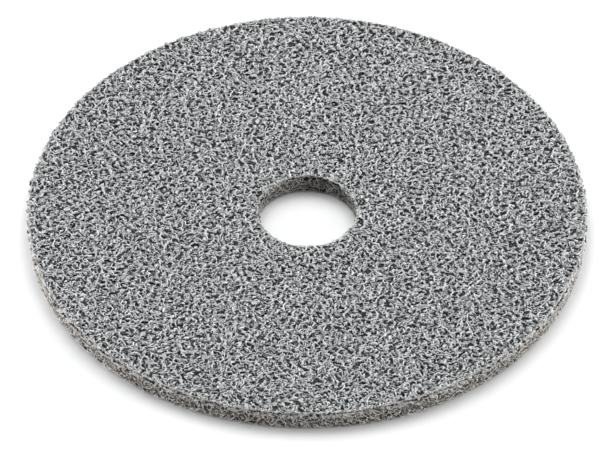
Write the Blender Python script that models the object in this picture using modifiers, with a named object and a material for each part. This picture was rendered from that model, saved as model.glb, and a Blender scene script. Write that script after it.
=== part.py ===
"""Unitized non-woven abrasive polishing wheel: a flat disc of fleece plies with a plain bore.

Plies of crimped nylon fleece, coated with resin and grit, are stacked, hot-pressed into one slab
and cut out as a disc. Units are metres, +Z is up and is the axis of the bore, and the origin is
the centre of the bore on the lower face, so the wheel lies flat on the floor.
"""

from math import cos, pi, radians, sin

import bpy

# Driving dimensions
WHEEL_DIAMETER = 0.125
BORE_DIAMETER = 0.02223
WHEEL_THICKNESS = 0.0053
PLY_COUNT = 6
BOND_LINE = 0.0003  # gap between neighbouring plies, where only resin-bridged fibres cross
OUTER_ARRIS_RADIUS = 0.0003  # the fleece gives a little where the die cuts the rim
BORE_ARRIS_RADIUS = 0.0002

# Resolution of the turned shapes
RING_SEGMENTS = 128
ARRIS_SEGMENTS = 3
MERGE_DISTANCE = 0.00001

# Worked out from the dimensions above
OUTER_RADIUS = WHEEL_DIAMETER / 2
BORE_RADIUS = BORE_DIAMETER / 2
PLY_THICKNESS = (WHEEL_THICKNESS - (PLY_COUNT - 1) * BOND_LINE) / PLY_COUNT
PLY_PITCH = PLY_THICKNESS + BOND_LINE

FACE_COLOUR = (0.42, 0.45, 0.46, 1.0)
CORE_COLOUR = (0.19, 0.18, 0.17, 1.0)
FLEECE_ROUGHNESS = 0.85


def clear_scene():
    """Removes what the startup file left behind."""
    for obj in list(bpy.data.objects):
        bpy.data.objects.remove(obj, do_unlink=True)


def new_collection(name):
    """Makes a collection under the scene's own."""
    collection = bpy.data.collections.new(name)
    bpy.context.scene.collection.children.link(collection)
    return collection


def fleece_material(name, colour):
    """Dull resin-coated fleece."""
    material = bpy.data.materials.new(name)
    material.use_nodes = True
    shader = material.node_tree.nodes["Principled BSDF"]
    shader.inputs["Base Color"].default_value = colour
    shader.inputs["Roughness"].default_value = FLEECE_ROUGHNESS
    shader.inputs["Metallic"].default_value = 0.0
    return material


def arris(centre_x, centre_z, radius, start_degrees):
    """A quarter of a circle, turning clockwise from its starting angle, as (x, z) points."""
    points = []
    for step in range(ARRIS_SEGMENTS + 1):
        angle = radians(start_degrees) - step * pi / 2 / ARRIS_SEGMENTS
        points.append((centre_x + radius * cos(angle), centre_z + radius * sin(angle)))
    return points


def ply_profile(rounded_top, rounded_bottom):
    """Half section of one ply, standing on z = 0, from its outer top corner clockwise.

    The arrises that show on a face of the wheel are eased, and the ones that meet the next ply
    are left square.
    """
    outer, inner, top = OUTER_RADIUS, BORE_RADIUS, PLY_THICKNESS
    big, small = OUTER_ARRIS_RADIUS, BORE_ARRIS_RADIUS
    points = []
    points += arris(outer - big, top - big, big, 90) if rounded_top else [(outer, top)]
    points += arris(outer - big, big, big, 0) if rounded_bottom else [(outer, 0)]
    points += arris(inner + small, small, small, -90) if rounded_bottom else [(inner, 0)]
    points += arris(inner + small, top - small, small, 180) if rounded_top else [(inner, top)]
    return points


def turned_ring(name, profile, collection):
    """A closed half section in the XZ plane, spun round Z by a Screw modifier."""
    mesh = bpy.data.meshes.new(name)
    count = len(profile)
    vertices = [(x, 0, z) for x, z in profile]
    edges = [(i, (i + 1) % count) for i in range(count)]
    mesh.from_pydata(vertices, edges, [])
    ring = bpy.data.objects.new(name, mesh)
    collection.objects.link(ring)
    screw = ring.modifiers.new("Screw", "SCREW")
    screw.axis = "Z"
    screw.angle = 2 * pi
    screw.steps = RING_SEGMENTS
    screw.render_steps = RING_SEGMENTS
    screw.use_merge_vertices = True
    screw.merge_threshold = MERGE_DISTANCE
    screw.use_smooth_shade = True
    ring.modifiers.new("Weighted normals", "WEIGHTED_NORMAL")  # keeps the flat faces flat
    return ring


def ply_name(index):
    """The plies are named from the lower face up."""
    if index == 0:
        return "bottom_face_ply"
    if index == PLY_COUNT - 1:
        return "top_face_ply"
    return f"core_ply_{index}"


def make_ply(index, collection):
    """One ply of the stack, at its height above the lower face."""
    is_bottom = index == 0
    is_top = index == PLY_COUNT - 1
    name = ply_name(index)
    ply = turned_ring(name, ply_profile(is_top, is_bottom), collection)
    ply.location = (0, 0, index * PLY_PITCH)
    colour = FACE_COLOUR if is_top or is_bottom else CORE_COLOUR
    ply.data.materials.append(fleece_material(f"{name}_fleece", colour))
    return ply


clear_scene()
wheel = new_collection("Abrasive fleece wheel")
for ply_index in range(PLY_COUNT):
    make_ply(ply_index, wheel)
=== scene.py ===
"""Looks of a unitized abrasive fleece wheel: crimped, resin-coated nylon fibres pressed into a disc."""

from math import cos, radians, sin, tau

import bpy
import numpy as np
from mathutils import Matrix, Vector


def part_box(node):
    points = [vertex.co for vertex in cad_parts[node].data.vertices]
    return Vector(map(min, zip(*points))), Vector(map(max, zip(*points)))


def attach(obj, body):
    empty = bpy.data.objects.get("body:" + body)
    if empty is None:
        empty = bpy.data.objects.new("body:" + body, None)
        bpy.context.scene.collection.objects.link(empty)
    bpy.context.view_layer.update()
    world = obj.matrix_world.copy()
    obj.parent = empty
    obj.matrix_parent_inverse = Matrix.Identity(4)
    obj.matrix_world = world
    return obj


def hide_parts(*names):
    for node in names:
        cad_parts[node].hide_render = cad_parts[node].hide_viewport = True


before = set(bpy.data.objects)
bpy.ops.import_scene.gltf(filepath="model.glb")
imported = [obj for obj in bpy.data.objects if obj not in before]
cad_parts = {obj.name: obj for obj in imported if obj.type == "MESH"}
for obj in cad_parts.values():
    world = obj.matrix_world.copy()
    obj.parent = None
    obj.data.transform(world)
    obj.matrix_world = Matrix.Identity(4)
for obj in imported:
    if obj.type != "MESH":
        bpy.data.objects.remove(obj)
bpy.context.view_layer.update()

# ---------------------------------------------------------------------------------------------
# Studio: a white sweep in a light tent. Panels above, behind and at both sides are lit and the front
# is left dark, so the cut rim is dark where it faces forward and throws a short soft shadow.

CAMERA_ELEVATION = radians(45.28)
CAMERA_DISTANCE = 2.05
CAMERA_LENS = 541.4
CAMERA_AIM = Vector((-0.00067, -0.00023, 0.0))
CAMERA_ROLL = radians(0.11)
CAMERA_CLIP_END = 20.0
FLOOR_HALF_SIDE = 6.0
FLOOR_COLOUR = (0.855, 0.86, 0.865, 1.0)
FLOOR_ROUGHNESS = 0.9
# The sweep is backlit away from the wheel: distance in metres and colour where it begins and is full.
SWEEP_GLOW = ((0.15, (0.0, 0.0, 0.0, 1.0)), (0.60, (1.0, 1.0, 1.0, 1.0)))
TENT_COLOUR = (1.0, 1.0, 1.0, 1.0)
TENT_STRENGTH = 0.02
BACKDROP_STRENGTH = 1.0
PANEL_DISTANCE = 1.2
# Panels of the tent: name, azimuth and elevation in degrees, width, height, power in watts.
TENT_PANELS = (
    ("panel_overhead", 90, 88, 1.0, 1.0, 6.2),
    ("panel_back", 90, 62, 1.0, 1.0, 9.4),
    ("panel_back_left", 150, 50, 0.8, 0.8, 3.5),
    ("panel_back_right", 30, 50, 0.8, 0.8, 2.9),
    ("panel_left", 180, 3, 0.8, 0.2, 19.0),
    ("panel_right_low", -5, 4, 0.6, 0.2, 7.4),
    ("panel_right_high", -22, 12, 0.5, 0.3, 5.8),
)


class Value:
    """An output socket that does arithmetic: an expression on it adds the Math nodes it needs."""

    def __init__(self, tree, socket):
        self.tree = tree
        self.socket = socket

    def math(self, operation, first, second):
        return self.tree.add("Math", {"operation": operation}, {0: first, 1: second})

    def __add__(self, other):
        return self.math("ADD", self, other)

    def __sub__(self, other):
        return self.math("SUBTRACT", self, other)

    def __rsub__(self, other):
        return self.math("SUBTRACT", other, self)

    def __mul__(self, other):
        return self.math("MULTIPLY", self, other)

    __radd__ = __add__
    __rmul__ = __mul__


class NodeTree:
    """The nodes of a material or of the world, all added by one method."""

    def __init__(self, owner):
        owner.use_nodes = True
        self.nodes = owner.node_tree.nodes
        self.links = owner.node_tree.links
        self.nodes.clear()

    def add(self, kind, settings=None, inputs=None, output=0):
        """Adds a ShaderNode of a kind: its settings first, then its sockets' values or links."""
        node = self.nodes.new("ShaderNode" + kind)
        for name, value in (settings or {}).items():
            if name == "stops":
                while len(node.color_ramp.elements) < len(value):
                    node.color_ramp.elements.new(1.0)
                for element, (position, colour) in zip(node.color_ramp.elements, value):
                    element.position = position
                    element.color = colour
            else:
                setattr(node, name, value)
        for name, value in (inputs or {}).items():
            if isinstance(value, Value):
                self.links.new(value.socket, node.inputs[name])
            else:
                node.inputs[name].default_value = value
        return Value(self, node.outputs[output]) if node.outputs else None

    def tinted(self, colour, tint):
        """A colour multiplied by a tint, channel by channel."""
        settings = {"data_type": "RGBA", "blend_type": "MULTIPLY"}
        return self.add("Mix", settings, {0: 1.0, 6: colour, 7: tint}, output=2)


def aimed(obj, place, target):
    """Puts a camera or a light at a place, looking at the target."""
    obj.location = place
    obj.rotation_euler = (place - target).to_track_quat("Z", "Y").to_euler()
    bpy.context.scene.collection.objects.link(obj)


def on_sphere(azimuth, elevation, distance):
    """The point at a distance from the origin, azimuth from +X towards +Y and elevation up."""
    flat = distance * cos(elevation)
    return Vector((flat * cos(azimuth), flat * sin(azimuth), distance * sin(elevation)))


camera_data = bpy.data.cameras.new("camera")
camera_data.lens = CAMERA_LENS
camera_data.clip_end = CAMERA_CLIP_END
camera = bpy.data.objects.new("camera", camera_data)
aimed(camera, CAMERA_AIM + on_sphere(radians(-90), CAMERA_ELEVATION, CAMERA_DISTANCE), CAMERA_AIM)
camera.rotation_euler.rotate_axis("Z", CAMERA_ROLL)
bpy.context.scene.camera = camera
bpy.context.scene.view_settings.view_transform = "Standard"

for panel_name, azimuth, elevation, width, height, power in TENT_PANELS:
    panel_data = bpy.data.lights.new(panel_name, "AREA")
    panel_data.shape = "RECTANGLE"
    panel_data.size = width
    panel_data.size_y = height
    panel_data.energy = power
    panel = bpy.data.objects.new(panel_name, panel_data)
    panel.visible_camera = False
    aimed(panel, on_sphere(radians(azimuth), radians(elevation), PANEL_DISTANCE), Vector((0, 0, 0)))

world = bpy.data.worlds.new("light_tent")
bpy.context.scene.world = world
tent = NodeTree(world)
seen_by_camera = tent.add("LightPath")
tent_light = tent.add("Background", None, {"Color": TENT_COLOUR, "Strength": TENT_STRENGTH})
tent_backdrop = tent.add("Background", None, {"Color": TENT_COLOUR, "Strength": BACKDROP_STRENGTH})
tent_shader = tent.add("MixShader", None, {0: seen_by_camera, 1: tent_light, 2: tent_backdrop})
tent.add("OutputWorld", None, {"Surface": tent_shader})

floor_material = bpy.data.materials.new("white_sweep")
sweep = NodeTree(floor_material)
sweep_place = sweep.add("TexCoord", output=3)
sweep_distance = sweep.add("VectorMath", {"operation": "LENGTH"}, {0: sweep_place}, output=1)
sweep_shader = sweep.add("BsdfPrincipled", None, {
    "Base Color": FLOOR_COLOUR,
    "Roughness": FLOOR_ROUGHNESS,
    "Specular IOR Level": 0.0,
    "Emission Color": sweep.add("ValToRGB", {"stops": SWEEP_GLOW}, {0: sweep_distance}),
    "Emission Strength": 1.0,
})
sweep.add("OutputMaterial", None, {"Surface": sweep_shader})
floor_mesh = bpy.data.meshes.new("floor")
half = FLOOR_HALF_SIDE
floor_mesh.from_pydata(
    [(-half, -half, 0), (half, -half, 0), (half, half, 0), (-half, half, 0)], [], [(0, 1, 2, 3)]
)
floor_mesh.materials.append(floor_material)
floor = bpy.data.objects.new("floor", floor_mesh)
bpy.context.scene.collection.objects.link(floor)

# ---------------------------------------------------------------------------------------------
# Fleece of the upper face: crimped nylon staple, each fibre thickly coated with grey resin and
# silicon-carbide grit, lying every way in the plane of the face and pressed level with it. Fibres
# at several depths cross and are cured together, and dark pores go down between them.

TOP_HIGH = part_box("top_face_ply")[1]
WHEEL_RADIUS = TOP_HIGH[0]
WHEEL_TOP = TOP_HIGH[2]
BORE_RADIUS = 0.01111
# Length of a fibre, and how far past the rim or the bore its middle may lie before it is cut.
FIBRE_LENGTH = 0.0056
FIBRE_REACH = 0.0012
# Webs of fibre under a face, from the surface down: depth of the crests, metres of fibre, spacing
# of the sections along a fibre, half its coated width, seed.
TOP_WEBS = (
    (-0.00006, 12.0, 0.00045, 0.00016, 11),
    (0.00000, 12.0, 0.00045, 0.00016, 12),
    (0.00006, 12.0, 0.00045, 0.00017, 13),
    (0.00012, 12.0, 0.00045, 0.00017, 14),
    (0.00019, 12.0, 0.00045, 0.00018, 15),
    (0.00028, 11.0, 0.00050, 0.00022, 16),
    (0.00042, 10.0, 0.00060, 0.00036, 17),
)
# How far the cut ends of the fibres stop short of the rim, least and most. Below 0 they are proud.
TOP_FRINGE = (-0.00030, 0.00010)
# Curl of the fibres: spread of their headings, swing of the crimp, its wavelength, and how far the
# heading strays, in radians for the root of a metre.
FACE_CURL = (3.0, 1.3, 0.0018, 18.0)
# How far a fibre dips under the ones it crosses, and how far it is shaken from its even place.
FACE_DIP = 0.00030
FACE_SHAKE = 0.0003
GOLDEN_ANGLE = radians(137.50776)
# Differences between fibres: wavelength and swing of the crimp as shares of the usual ones,
# wavelengths of the weave and of the swelling, how much the coating swells, its width as a share
# of the usual one, and how suddenly the ends dive.
CRIMP_LENGTHS = (0.6, 1.7)
CRIMP_SWINGS = (0.4, 1.4)
WEAVE_LENGTHS = (0.0016, 0.0045)
SWELL_LENGTHS = (0.0010, 0.0025)
SWELL = 0.2
COATED_WIDTHS = (0.7, 1.3)
DIVE_POWER = 8


def crimped_paths(rng, fibres, samples, step, heading_spread, crimp, wavelength, wander):
    """Curled paths of fibres round their own middles, as u, v and heading arrays.

    The heading at arc length s is a random start, plus a random walk, plus
    crimp * sin(tau * s / wavelength + phase), with the crimp and the wavelength different for every
    fibre. u and v are the running sums of its cosine and sine times the step, so that a fibre keeps
    its length however much it curls.
    """
    s = np.arange(samples) * step
    start = rng.normal(0, heading_spread, (fibres, 1)) + np.pi * rng.integers(0, 2, (fibres, 1))
    walk = rng.normal(0, wander * step**0.5, (fibres, samples)).cumsum(axis=1)
    waves = wavelength * rng.uniform(*CRIMP_LENGTHS, (fibres, 1))
    swings = crimp * rng.uniform(*CRIMP_SWINGS, (fibres, 1))
    heading = start + walk + swings * np.sin(tau * s / waves + rng.uniform(0, tau, (fibres, 1)))
    u = np.cumsum(np.cos(heading), axis=1) * step
    v = np.cumsum(np.sin(heading), axis=1) * step
    return u - u.mean(axis=1, keepdims=True), v - v.mean(axis=1, keepdims=True), heading


def coated_tubes(rng, u, v, heading, step, crest_depth, dip, half_width):
    """Three-sided tubes along flat paths, as points (fibre, sample, corner, uvw).

    A section has a right foot, a crest and a left foot: the feet are half a width to either side
    of the path, and the crest stands half a width above them. The crest runs level at crest_depth
    below the surface w = 0, dips under its neighbours and dives at both ends, as
    -crest_depth - dip * (max(0, sin(tau * s / wavelength + phase)) + |t| ** 8), where t goes from
    -1 to 1 along the fibre. The coating swells and thins along the fibre as another sine.
    """
    fibres, samples = u.shape
    s = np.arange(samples) * step
    weave = np.sin(tau * s / rng.uniform(*WEAVE_LENGTHS, (fibres, 1)) + rng.uniform(0, tau, (fibres, 1)))
    swell = np.sin(tau * s / rng.uniform(*SWELL_LENGTHS, (fibres, 1)) + rng.uniform(0, tau, (fibres, 1)))
    half = half_width * rng.uniform(*COATED_WIDTHS, (fibres, 1)) * (1 + SWELL * swell)
    dive = np.abs(np.linspace(-1, 1, samples)) ** DIVE_POWER
    crest = -crest_depth - dip * (np.maximum(weave, 0) + dive)
    foot = crest - half
    right = np.stack([u + half * np.sin(heading), v - half * np.cos(heading), foot], axis=-1)
    left = np.stack([u - half * np.sin(heading), v + half * np.cos(heading), foot], axis=-1)
    return np.stack([right, np.stack([u, v, crest], axis=-1), left], axis=2)


def mesh_piece(name, points, faces, material, attributes):
    """A smooth mesh object at the origin from points and groups of equal-sided faces.

    Points that no face uses are dropped. Each attribute is a number for every point.
    """
    corners = np.concatenate([group.reshape(-1) for group in faces])
    sizes = np.concatenate([np.full(len(group), group.shape[1]) for group in faces])
    used, corners = np.unique(corners, return_inverse=True)
    mesh = bpy.data.meshes.new(name)
    mesh.vertices.add(len(used))
    mesh.vertices.foreach_set("co", points[used].astype(np.float32).reshape(-1))
    mesh.loops.add(len(corners))
    mesh.loops.foreach_set("vertex_index", corners.reshape(-1).astype(np.int32))
    mesh.polygons.add(len(sizes))
    mesh.polygons.foreach_set("loop_start", (np.cumsum(sizes) - sizes).astype(np.int32))
    mesh.update(calc_edges=True)
    mesh.shade_smooth()
    for attribute, numbers in attributes.items():
        layer = mesh.attributes.new(attribute, "FLOAT", "POINT")
        layer.data.foreach_set("value", numbers[used].astype(np.float32))
    mesh.materials.append(material)
    piece = bpy.data.objects.new(name, mesh)
    bpy.context.scene.collection.objects.link(piece)
    return piece


def tube_faces(fibres, samples, kept):
    """The faces of closed three-sided tubes: a quad a side for each kept stretch between two
    sections, and a triangular cap wherever a run of kept stretches begins or ends."""
    corner = np.arange(fibres * samples * 3).reshape(fibres, samples, 3)
    here, there = corner[:, :-1], corner[:, 1:]
    sides = [
        np.stack([here[..., a], there[..., a], there[..., b], here[..., b]], axis=-1)[kept]
        for a, b in ((0, 1), (1, 2), (2, 0))
    ]
    before = np.pad(kept, ((0, 0), (1, 0)))[:, :-1]
    after = np.pad(kept, ((0, 0), (0, 1)))[:, 1:]
    begins = here[kept & ~before]
    ends = there[kept & ~after][:, ::-1]
    return [np.concatenate(sides), np.concatenate([begins, ends])]


def trimmed_to_ring(points, fringe):
    """Pulls sections that lie past the rim, or inside the bore, back to the cut, and says which
    stretches of fibre have at least one end on the material. The fringe is how far each fibre's cut
    end stops short of the rim or the bore, and below 0 it stands proud."""
    middle = points.mean(axis=2)
    radius = np.hypot(middle[..., 0], middle[..., 1])
    on_ring = (radius < WHEEL_RADIUS - fringe) & (radius > BORE_RADIUS + fringe)
    held = np.clip(radius, BORE_RADIUS + fringe, WHEEL_RADIUS - fringe) / radius
    points[..., :2] *= held[..., None, None]
    return on_ring[:, :-1] | on_ring[:, 1:]


def face_web(name, crest_depth, metres, step, half_width, seed, side, fringe, material):
    """One depth of the fibre tangle under a face.

    The fibres' middles are spread evenly on a sunflower spiral, then shaken by about FACE_SHAKE.
    On it the square of the reach grows evenly with the index, and the bearing is
    seed + index * golden angle. side is 1 on the upper face, and -1 turns the layout over onto the
    lower one.
    """
    rng = np.random.default_rng(seed)
    samples = round(FIBRE_LENGTH / step)
    fibres = round(metres / FIBRE_LENGTH)
    u, v, heading = crimped_paths(rng, fibres, samples, step, *FACE_CURL)
    share = (np.arange(fibres)[:, None] + 0.5) / fibres
    innermost = BORE_RADIUS - FIBRE_REACH
    outermost = WHEEL_RADIUS + FIBRE_REACH
    reach = np.sqrt(innermost**2 + share * (outermost**2 - innermost**2))
    bearing = seed + GOLDEN_ANGLE * np.arange(fibres)[:, None]
    u += reach * np.cos(bearing) + rng.normal(0, FACE_SHAKE, (fibres, 1))
    v += reach * np.sin(bearing) + rng.normal(0, FACE_SHAKE, (fibres, 1))
    points = coated_tubes(rng, u, v, heading, step, crest_depth, FACE_DIP, half_width)
    kept = trimmed_to_ring(points, rng.uniform(*fringe, (fibres, 1)))
    depth = -points[..., 2].reshape(-1)
    shade = np.broadcast_to(rng.random((fibres, 1, 1)), points.shape[:3]).reshape(-1)
    level = WHEEL_TOP if side > 0 else 0.0
    points[..., 1] *= side
    points[..., 2] = level + side * points[..., 2]
    faces = tube_faces(*u.shape, kept)
    return mesh_piece(name, points.reshape(-1, 3), faces, material, {"depth": depth, "shade": shade})


# Coating: grains of grit to a metre, octaves of the blotches, how far the tone differs from fibre
# to fibre, where the middle and bright greys lie on the scale of tones, how dark a grain is and
# how far from its middle, least roughness and its spread, and the height and relief of the grains.
GRIT_SCALE = 9000.0
BLOTCH_DETAIL = 3.0
FIBRE_SHADES = 0.06
MIDDLE_TONE = 0.45
BRIGHT_TONE = 0.95
GRAIN_SHADOW = (0.5, 0.5, 0.5, 1)
GRAIN_EDGE = 0.25
WHITE = (1, 1, 1, 1)
SMOOTHEST = 0.6
ROUGHNESS_SPREAD = 0.3
GRAIN_HEIGHT = 0.00004
GRAIN_RELIEF = 0.4


def fleece_material(name, bright, middle, deep_shade, shade_depth_reach, blotch_size, blotch_strength):
    """Resin and grit on fibre: bright on the crests at the surface, falling through a middle grey
    to a dark one at the given depth below it, which is painted shade of the pores, uneven from fibre
    to fibre, blotchy along each, and speckled and roughened by the grains."""
    material = bpy.data.materials.new(name)
    tree = NodeTree(material)
    place = tree.add("TexCoord", output=3)
    depth = tree.add("Attribute", {"attribute_name": "depth"}, output=2)
    shade = tree.add("Attribute", {"attribute_name": "shade"}, output=2)
    blotch = tree.add("TexNoise", None, {"Vector": place, "Scale": 1 / blotch_size, "Detail": BLOTCH_DETAIL})
    grit = tree.add("TexVoronoi", None, {"Vector": place, "Scale": GRIT_SCALE})
    # Painted shade: the tone falls with depth below the surface, for the shade down between the fibres.
    painted_depth_shade = depth * (1.0 / shade_depth_reach)
    tone = 1.0 - painted_depth_shade + (shade - 0.5) * FIBRE_SHADES + (blotch - 0.5) * blotch_strength
    stops = ((0.0, deep_shade), (MIDDLE_TONE, middle), (BRIGHT_TONE, bright))
    colour = tree.add("ValToRGB", {"stops": stops}, {0: tone})
    speckle_stops = ((0.0, GRAIN_SHADOW), (GRAIN_EDGE, WHITE))
    speckle = tree.add("ValToRGB", {"stops": speckle_stops}, {0: grit})
    coated = tree.tinted(colour, speckle)
    relief = {"Height": grit + blotch, "Strength": GRAIN_RELIEF, "Distance": GRAIN_HEIGHT}
    shader = tree.add("BsdfPrincipled", None, {
        "Base Color": coated,
        "Roughness": blotch * ROUGHNESS_SPREAD + SMOOTHEST,
        "Normal": tree.add("Bump", None, relief),
    })
    tree.add("OutputMaterial", None, {"Surface": shader})
    return material


# Its darkest colour is painted shade, reached at depth below the surface.
face_coating = fleece_material(
    "face_coating",
    bright=(0.72, 0.74, 0.75, 1),
    middle=(0.47, 0.477, 0.484, 1),
    deep_shade=(0.005, 0.005, 0.005, 1),
    shade_depth_reach=0.00045,
    blotch_size=0.00020,
    blotch_strength=2.3,
)

for index, web_sizes in enumerate(TOP_WEBS):
    web = face_web(f"top_ply_fibres_{index + 1}", *web_sizes, 1, TOP_FRINGE, face_coating)
    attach(web, "root")
    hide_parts("top_face_ply")

# ---------------------------------------------------------------------------------------------
# Resin bridges of the upper face: where fibres cross, the binder ran into the angle between them
# and set there as a small thin web, level with the face or just under it.

# Bridges: how many, corners of one, least and most size and depth, how far the crown stands above
# the edge and the keel hangs below it, how far the edge bulges two and three ways, seed.
BRIDGE_COUNT = 5000
BRIDGE_CORNERS = 8
BRIDGE_REACH = (0.00020, 0.00050)
BRIDGE_DEPTH = (0.00006, 0.00026)
BRIDGE_CROWN = 0.00002
BRIDGE_KEEL = 0.00008
BRIDGE_TWOFOLD = 0.40
BRIDGE_THREEFOLD = 0.25
BRIDGE_SEED = 18


def resin_bridges(name, count, seed, material):
    """Thin closed lenses of resin, spread over the upper face on a sunflower spiral as fibres are.

    The edge of one, seen from above, is size * (1 + twofold sin(2a + p) + threefold sin(3a + q)) at
    the angle a, with random p and q. The middle of its upper side, the crown, stands a little above
    the edge, and the middle of its lower side, the keel, hangs below it.
    """
    rng = np.random.default_rng(seed)
    bearing = seed + GOLDEN_ANGLE * np.arange(count)[:, None]
    share = (np.arange(count)[:, None] + 0.5) / count
    outermost = WHEEL_RADIUS - BRIDGE_REACH[1]
    innermost = BORE_RADIUS + BRIDGE_REACH[1]
    reach = np.sqrt(innermost**2 + share * (outermost**2 - innermost**2))
    angle = np.arange(BRIDGE_CORNERS) * tau / BRIDGE_CORNERS
    twofold = BRIDGE_TWOFOLD * np.sin(2 * angle + rng.uniform(0, tau, (count, 1)))
    threefold = BRIDGE_THREEFOLD * np.sin(3 * angle + rng.uniform(0, tau, (count, 1)))
    size = rng.uniform(*BRIDGE_REACH, (count, 1)) * (1 + twofold + threefold)
    depth = rng.uniform(*BRIDGE_DEPTH, (count, 1))
    middle = np.zeros((count, 1))
    across = reach * np.cos(bearing) + np.concatenate([size * np.cos(angle), middle, middle], axis=1)
    along = reach * np.sin(bearing) + np.concatenate([size * np.sin(angle), middle, middle], axis=1)
    edge = -depth + rng.uniform(-0.5, 0.5, size.shape) * BRIDGE_KEEL
    height = np.concatenate([edge, BRIDGE_CROWN - depth, -depth - BRIDGE_KEEL], axis=1)
    points = np.stack([across, along, WHEEL_TOP + height], axis=-1)
    corner = np.arange(count * (BRIDGE_CORNERS + 2)).reshape(count, -1)
    here = corner[:, :BRIDGE_CORNERS]
    ahead = np.roll(here, -1, axis=1)
    crown = np.broadcast_to(corner[:, -2:-1], here.shape)
    keel = np.broadcast_to(corner[:, -1:], here.shape)
    above = np.stack([here, ahead, crown], axis=-1)
    below = np.stack([ahead, here, keel], axis=-1)
    faces = np.concatenate([above, below]).reshape(-1, 3)
    shade = np.broadcast_to(rng.random((count, 1)), height.shape).reshape(-1)
    attributes = {"depth": -height.reshape(-1), "shade": shade}
    return mesh_piece(name, points.reshape(-1, 3), [faces], material, attributes)


bridges = resin_bridges("top_ply_resin_bridges", BRIDGE_COUNT, BRIDGE_SEED, face_coating)
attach(bridges, "root")
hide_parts("top_face_ply")

# ---------------------------------------------------------------------------------------------
# Arrises of the two face plies, at the rim and round the bore: the die leaves them crisp, and the
# fibres it bent over the edge and down the wall are paler than the cut ones, dusted with resin.

# Radius of the arris, sections along a fibre, their spacing, half its coated width, its curl as on
# the faces, its dip, how far it may stand proud, and how far in over the face it runs.
ARRIS_RADIUS = 0.00022
ARRIS_FIBRE_SAMPLES = 9
ARRIS_STEP = 0.00033
ARRIS_HALF_WIDTH = 0.00013
ARRIS_CURL = (3.0, 0.9, 0.0022, 14.0)
ARRIS_DIP = 0.0002
ARRIS_PROUD = 0.00006
ARRIS_REACH = 0.00045
# Name, radius of the wall, 1 if it faces outward or -1 inward, 1 for the upper face or -1 for the
# lower one, reach of the band from down the wall to in over the face, share of it covered, seed.
ARRISES = (
    ("top_ply_rim_arris", WHEEL_RADIUS, 1, 1, (-0.0020, 0.0001), 1.0, 31),
    ("top_ply_bore_arris", BORE_RADIUS, -1, 1, (-0.0016, 0.0001), 1.0, 32),
    ("bottom_ply_rim_arris", WHEEL_RADIUS, 1, -1, (-0.0005, 0.0002), 0.7, 33),
    ("bottom_ply_bore_arris", BORE_RADIUS, -1, -1, (-0.0005, 0.0002), 0.7, 34),
)


def bent_over_arris(points, radius, outward, side):
    """Takes flat fibres over an arris of the wheel.

    u goes round the wheel and v inwards over the face. Where v < 0 the path has gone over the
    edge: it turns through -v / ARRIS_RADIUS on a quarter circle, and then runs straight along the
    wall. w stays the height above the surface all the way.
    """
    u, v, w = points[..., 0], points[..., 1], points[..., 2]
    turned = np.clip(-v / ARRIS_RADIUS, 0, tau / 4)
    past = np.maximum(-v - ARRIS_RADIUS * tau / 4, 0)
    inward = ARRIS_RADIUS + np.maximum(v, 0) - (ARRIS_RADIUS + w) * np.sin(turned)
    down = ARRIS_RADIUS + past - (ARRIS_RADIUS + w) * np.cos(turned)
    distance = radius - outward * inward
    height = WHEEL_TOP - down if side > 0 else down
    bearing = outward * side * u / radius
    return np.stack([distance * np.cos(bearing), distance * np.sin(bearing), height], axis=-1)


def arris_web(name, radius, outward, side, reach, cover, seed, material):
    """Short fibres lying every way in a band that follows the arris, spaced evenly along it."""
    rng = np.random.default_rng(seed)
    girth = tau * radius
    length = ARRIS_FIBRE_SAMPLES * ARRIS_STEP
    band = reach[1] - reach[0] + length / 2
    fibres = round(cover * girth * band / (length * 2 * ARRIS_HALF_WIDTH))
    u, v, heading = crimped_paths(rng, fibres, ARRIS_FIBRE_SAMPLES, ARRIS_STEP, *ARRIS_CURL)
    u += (np.arange(fibres)[:, None] + rng.random((fibres, 1))) * girth / fibres
    v += rng.uniform(*reach, (fibres, 1))
    sunk = rng.uniform(-ARRIS_PROUD, 2 * ARRIS_PROUD, (fibres, 1))
    points = coated_tubes(rng, u, v, heading, ARRIS_STEP, sunk, ARRIS_DIP, ARRIS_HALF_WIDTH)
    kept = (v[:, :-1] < ARRIS_REACH) & (v[:, 1:] < ARRIS_REACH)
    shade = np.broadcast_to(rng.random((fibres, 1, 1)), points.shape[:3]).reshape(-1)
    attributes = {"depth": -points[..., 2].reshape(-1), "shade": shade}
    bent = bent_over_arris(points, radius, outward, side)
    return mesh_piece(name, bent.reshape(-1, 3), tube_faces(*u.shape, kept), material, attributes)


# Its darkest colour is painted shade, reached at depth below the surface.
arris_coating = fleece_material(
    "arris_coating",
    bright=(0.76, 0.75, 0.735, 1),
    middle=(0.32, 0.315, 0.305, 1),
    deep_shade=(0.012, 0.012, 0.012, 1),
    shade_depth_reach=0.00050,
    blotch_size=0.00030,
    blotch_strength=1.3,
)

for arris_name, radius, outward, side, reach, cover, seed in ARRISES:
    arris = arris_web(arris_name, radius, outward, side, reach, cover, seed, arris_coating)
    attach(arris, "root")
    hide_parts("top_face_ply" if side > 0 else "bottom_face_ply")

# ---------------------------------------------------------------------------------------------
# Inside of the plies: a springy mass of fibre and resin too deep to be lit, seen only as the dark
# bottom of a pore and coloured near-black as painted shade. Each ply's is a rough ring that stops
# short of the faces and of the cut walls.

PLY_NAMES = (
    "bottom_face_ply",
    "core_ply_1",
    "core_ply_2",
    "core_ply_3",
    "core_ply_4",
    "top_face_ply",
)
# A body: depth below the face and behind the wall, lap into the next ply, stations round the ring,
# points along each side of the section, how far a point is shaken, seed of the first.
BODY_FACE_DEPTH = 0.00065
BODY_WALL_DEPTH = 0.00035
BODY_LAP = 0.0002
BODY_COLUMNS = 200
BODY_ROWS = 20
BODY_ROUGHNESS = 0.00015
FIRST_BODY_SEED = 40


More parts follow.
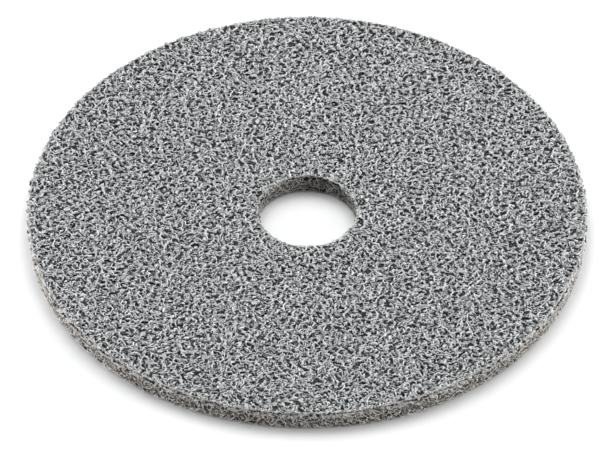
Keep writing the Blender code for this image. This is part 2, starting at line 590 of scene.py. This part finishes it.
def body_ring(name, low, high, seed, material):
    """A rough closed ring: a rectangular half section carried round the axis.

    The section runs down the outer wall, in along the underside, up the bore wall and out along
    the top, and every point of it is shaken by a random amount at every station round the ring.
    """
    rng = np.random.default_rng(seed)
    outer = WHEEL_RADIUS - BODY_WALL_DEPTH
    inner = BORE_RADIUS + BODY_WALL_DEPTH
    across = np.linspace(0, 1, BODY_ROWS)
    radii = np.concatenate([outer + (inner - outer) * across, inner + (outer - inner) * across])
    heights = np.concatenate([np.full(BODY_ROWS, low), np.full(BODY_ROWS, high)])
    turn = np.arange(BODY_COLUMNS)[:, None] * tau / BODY_COLUMNS
    rows = len(radii)
    shape = (BODY_COLUMNS, rows)
    radius = radii + BODY_ROUGHNESS * rng.uniform(-1, 1, shape)
    height = heights + BODY_ROUGHNESS * rng.uniform(-1, 1, shape)
    points = np.stack([radius * np.cos(turn), radius * np.sin(turn), height], axis=-1)
    corner = np.arange(BODY_COLUMNS * rows).reshape(shape)
    ahead = np.roll(corner, -1, axis=0)
    faces = np.stack(
        [corner, np.roll(corner, -1, axis=1), np.roll(ahead, -1, axis=1), ahead], axis=-1
    ).reshape(-1, 4)
    return mesh_piece(name, points.reshape(-1, 3), [faces], material, {})


# The net in the pores: cells to a metre, the noise that pushes them and how far, where a strand ends
# and a gap begins, the height of the strands, their roughness, and the colours of strand and gap,
# both near-black as painted shade.
NET_SCALE = 1300.0
NET_DRIFT_SCALE = 1200.0
NET_DRIFT_DETAIL = 2.0
NET_DRIFT = 0.0006
STRAND_EDGE = 0.10
GAP_EDGE = 0.32
NET_HEIGHT = 0.0003
NET_ROUGHNESS = 0.8
STRAND_SHADE_COLOUR = (0.06, 0.062, 0.065, 1)
GAP_SHADE_COLOUR = (0.008, 0.008, 0.008, 1)


def deep_fleece_material(name, strand, gap):
    """Fibre and resin at the bottom of the pores: a net of dull strands with black gaps between
    them, drawn as the edges of cells that a noise has pushed out of true. Their near-black colours
    are painted shade."""
    material = bpy.data.materials.new(name)
    tree = NodeTree(material)
    place = tree.add("TexCoord", output=3)
    drift_inputs = {"Vector": place, "Scale": NET_DRIFT_SCALE, "Detail": NET_DRIFT_DETAIL}
    drift = tree.add("TexNoise", None, drift_inputs, output=1)
    push = tree.add("VectorMath", {"operation": "MULTIPLY"}, {0: drift, 1: (NET_DRIFT,) * 3})
    pushed = tree.add("VectorMath", {"operation": "ADD"}, {0: place, 1: push})
    cell_inputs = {"Vector": pushed, "Scale": NET_SCALE}
    edge = tree.add("TexVoronoi", {"feature": "DISTANCE_TO_EDGE"}, cell_inputs)
    net = tree.add("ValToRGB", {"stops": ((STRAND_EDGE, strand), (GAP_EDGE, gap))}, {0: edge})
    relief = {"Height": edge, "Strength": 1.0, "Distance": NET_HEIGHT}
    shader = tree.add("BsdfPrincipled", None, {
        "Base Color": net,
        "Roughness": NET_ROUGHNESS,
        "Normal": tree.add("Bump", {"invert": True}, relief),
    })
    tree.add("OutputMaterial", None, {"Surface": shader})
    return material


# Painted shade: the ply bodies are coloured near-black for the shade at the bottom of the pores.
painted_pore_shade = deep_fleece_material("painted_pore_shade", STRAND_SHADE_COLOUR, GAP_SHADE_COLOUR)

for index, ply in enumerate(PLY_NAMES):
    ply_low, ply_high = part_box(ply)
    body_low = ply_low[2] - BODY_LAP if index else BODY_FACE_DEPTH
    topmost = index == len(PLY_NAMES) - 1
    body_high = WHEEL_TOP - BODY_FACE_DEPTH if topmost else ply_high[2] + BODY_LAP
    body = body_ring(f"{ply}_body", body_low, body_high, FIRST_BODY_SEED + index, painted_pore_shade)
    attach(body, "root")
    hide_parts(ply)

# ---------------------------------------------------------------------------------------------
# Cut walls, one band to a ply: where the die went through, the rim and the bore show short cut
# lengths of fibre, finer and closer than on the faces, browner, and dull with resin dust.

# Cut fibres: sections along one, their spacing, half its coated width, its curl as on the faces,
# its dip, seed of the first band.
CUT_FIBRE_SAMPLES = 8
CUT_STEP = 0.0003
CUT_HALF_WIDTH = 0.00013
CUT_CURL = (1.4, 0.9, 0.0019, 16.0)
CUT_DIP = 0.0002
FIRST_CUT_SEED = 60
# Layers of cut fibre from the wall inwards: depth of the crests, share of the wall covered.
CUT_LAYERS = ((0.00000, 0.8), (0.00017, 0.9))


def wall_fibres(rng, radius, outward, low, high, crest_depth, cover):
    """Fibre lengths lying in a cut wall between two heights, as points, kept stretches, depths.

    They are laid out flat, u along the wall and v up it, spaced evenly along u, then wrapped: the
    bearing is outward * u / radius and the distance from the axis is radius + outward * w.
    """
    girth = tau * radius
    area = girth * (high - low)
    length = CUT_FIBRE_SAMPLES * CUT_STEP
    fibres = round(cover * area / (length * 2 * CUT_HALF_WIDTH))
    u, v, heading = crimped_paths(rng, fibres, CUT_FIBRE_SAMPLES, CUT_STEP, *CUT_CURL)
    u += (np.arange(fibres)[:, None] + rng.random((fibres, 1))) * girth / fibres
    v += rng.uniform(low, high, (fibres, 1))
    points = coated_tubes(rng, u, v, heading, CUT_STEP, crest_depth, CUT_DIP, CUT_HALF_WIDTH)
    height = points[..., 1].mean(axis=2)
    inside = (height > CUT_HALF_WIDTH) & (height < WHEEL_TOP - CUT_HALF_WIDTH)
    kept = inside[:, :-1] & inside[:, 1:]
    depth = -points[..., 2]
    distance = radius + outward * points[..., 2]
    bearing = outward * points[..., 0] / radius
    x = distance * np.cos(bearing)
    y = distance * np.sin(bearing)
    return np.stack([x, y, points[..., 1]], axis=-1), kept, depth


def cut_band(name, low, high, seed, material):
    """All of one ply's cut edge: the fibre lengths in its rim and in its bore."""
    rng = np.random.default_rng(seed)
    parts = [
        wall_fibres(rng, radius, outward, low, high, crest_depth, cover)
        for radius, outward in ((WHEEL_RADIUS, 1), (BORE_RADIUS, -1))
        for crest_depth, cover in CUT_LAYERS
    ]
    points, kept, depth = (np.concatenate(arrays) for arrays in zip(*parts))
    shade = np.broadcast_to(rng.random((len(points), 1, 1)), points.shape[:3])
    faces = tube_faces(*points.shape[:2], kept)
    attributes = {"depth": depth.reshape(-1), "shade": shade.reshape(-1)}
    return mesh_piece(name, points.reshape(-1, 3), faces, material, attributes)


# Its darkest colour is painted shade, reached at depth below the surface.
cut_coating = fleece_material(
    "cut_coating",
    bright=(0.68, 0.65, 0.615, 1),
    middle=(0.18, 0.171, 0.158, 1),
    deep_shade=(0.010, 0.0095, 0.009, 1),
    shade_depth_reach=0.00050,
    blotch_size=0.00028,
    blotch_strength=1.8,
)

for index, ply in enumerate(PLY_NAMES):
    band_low = WHEEL_TOP * index / len(PLY_NAMES)
    band_high = WHEEL_TOP * (index + 1) / len(PLY_NAMES)
    band = cut_band(f"{ply}_cut_edge", band_low, band_high, FIRST_CUT_SEED + index, cut_coating)
    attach(band, "root")
    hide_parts(ply)

# ---------------------------------------------------------------------------------------------
# Fleece of the lower face: the same web as the upper one, turned over, with its fibres cut a little
# short of the rim. It lay on the other platen of the press and shows the same tangle and pores.

BOTTOM_WEBS = (
    (0.00000, 8.0, 0.00045, 0.00019, 51),
    (0.00005, 8.0, 0.00045, 0.00020, 52),
    (0.00014, 8.0, 0.00050, 0.00024, 53),
    (0.00036, 8.0, 0.00070, 0.00038, 54),
)
BOTTOM_FRINGE = (0.00010, 0.00040)

for index, web_sizes in enumerate(BOTTOM_WEBS):
    web = face_web(f"bottom_ply_fibres_{index + 1}", *web_sizes, -1, BOTTOM_FRINGE, face_coating)
    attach(web, "root")
    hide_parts("bottom_face_ply")
